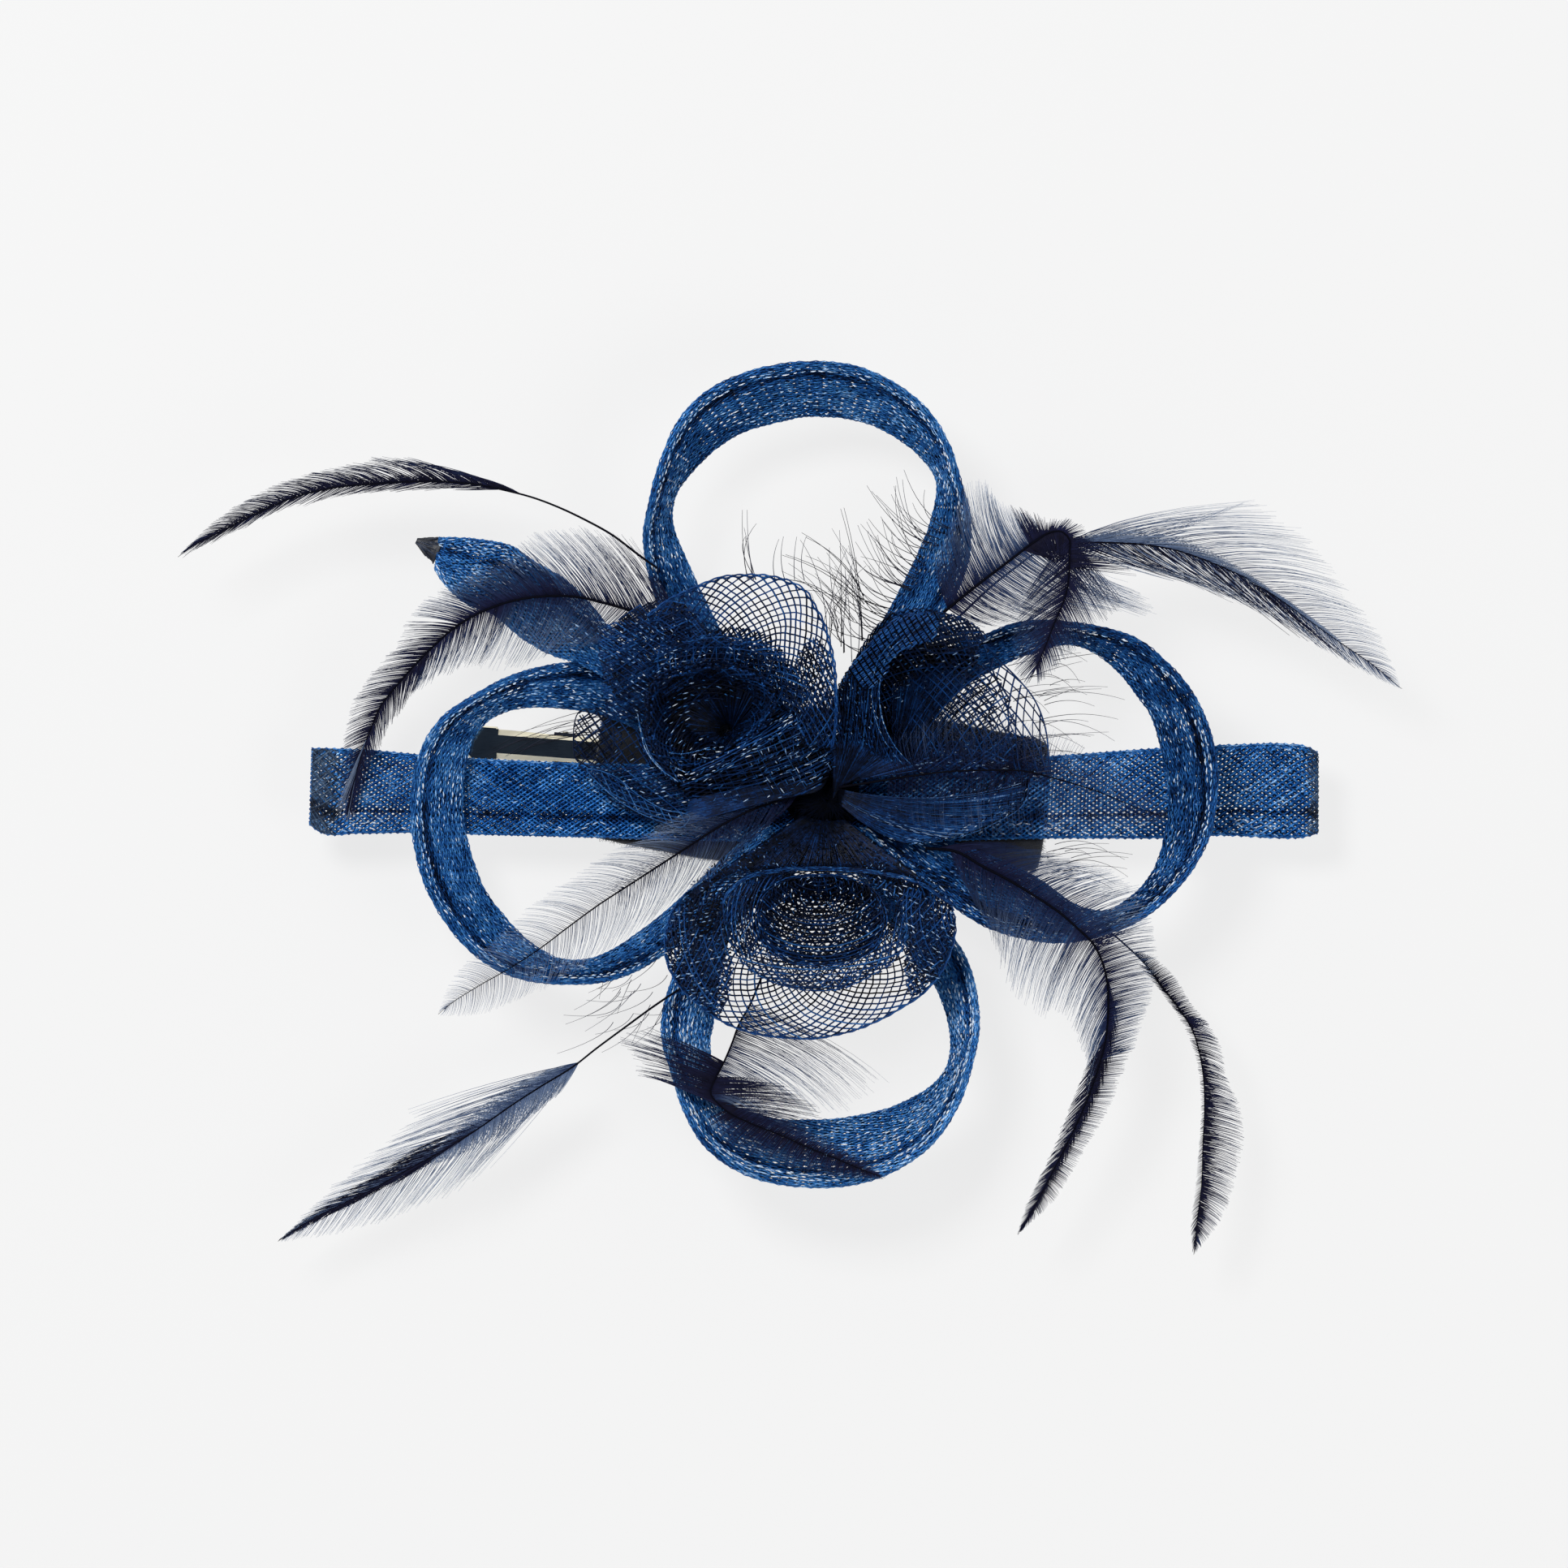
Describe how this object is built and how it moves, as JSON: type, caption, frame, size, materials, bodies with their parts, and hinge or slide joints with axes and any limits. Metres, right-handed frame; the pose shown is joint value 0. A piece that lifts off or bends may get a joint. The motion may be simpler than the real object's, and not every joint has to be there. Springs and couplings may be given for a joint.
{
  "type": "fascinator headpiece",
  "caption": "Fascinator headpiece: black felt base on a sprung hair clip, with looped crin braid, rolled crin roses and curled trimmed feathers.",
  "frame": {"origin": "centre of the felt base's underside, where it sits on the head", "axes": "+Z away from the head, +X along the flat braid band (the longest extent), +Y towards the top braid loop"},
  "size_m": [0.2484, 0.1816, 0.0394],
  "materials": {
    "black_felt": "matte wool felt",
    "crin_braid": "tubular horsehair-type braid, diamond mesh, slight metallic sparkle",
    "crin_mesh": "flat wide-mesh horsehair-type braid with bound edges",
    "feather": "dyed feather, stripped barbs",
    "clip_steel": "bright plated sheet steel",
    "spring_wire": "bright spring wire",
    "binding_thread": "dark thread and gathered braid ends",
    "sealed_end": "heat-sealed and bound braid end"
  },
  "bodies": {
    "headpiece": {"bottom_loop": "crin_braid", "bottom_rose_inner_cup": "crin_mesh", "bottom_rose_middle_petal": "crin_mesh", "bottom_rose_outer_petal": "crin_mesh", "centre_binding": "binding_thread", "clip_hinge_pin": "clip_steel", "clip_spring": "spring_wire", "clip_upper_plate": "clip_steel", "feather_bottom": "feather", "feather_centre_left": "feather", "feather_centre_right": "feather", "feather_curled": "feather", "feather_left": "feather", "feather_lower_left": "feather", "feather_lower_right": "feather", "feather_right_tip": "feather", "feather_upper_left": "feather", "feather_upper_right": "feather", "felt_base": "black_felt", "flat_band": "crin_braid", "left_loop": "crin_braid", "left_rose_flap": "crin_mesh", "left_rose_front_petal": "crin_mesh", "left_rose_inner_cup": "crin_mesh", "left_rose_middle_petal": "crin_mesh", "left_rose_outer_petal": "crin_mesh", "pointed_tail": "crin_braid", "right_loop": "crin_braid", "right_rose_inner_petal": "crin_mesh", "right_rose_outer_petal": "crin_mesh", "right_rose_right_petal": "crin_mesh", "tail_end_binding": "sealed_end", "top_loop": "crin_braid"},
    "clip_jaw": {"clip_lower_jaw": "clip_steel"}
  },
  "joints": [
    {"name": "clip_open", "type": "hinge", "parent": "headpiece", "child": "clip_jaw", "pos_m": [-0.0525, 0.0083, -0.0032], "axis": [0.075, 0.9972, 0], "range_deg": [0, 18], "stiffness_Nm_per_rad": 0.04, "springref_deg": -20.05, "deforming": ["clip_spring"]}
  ]
}
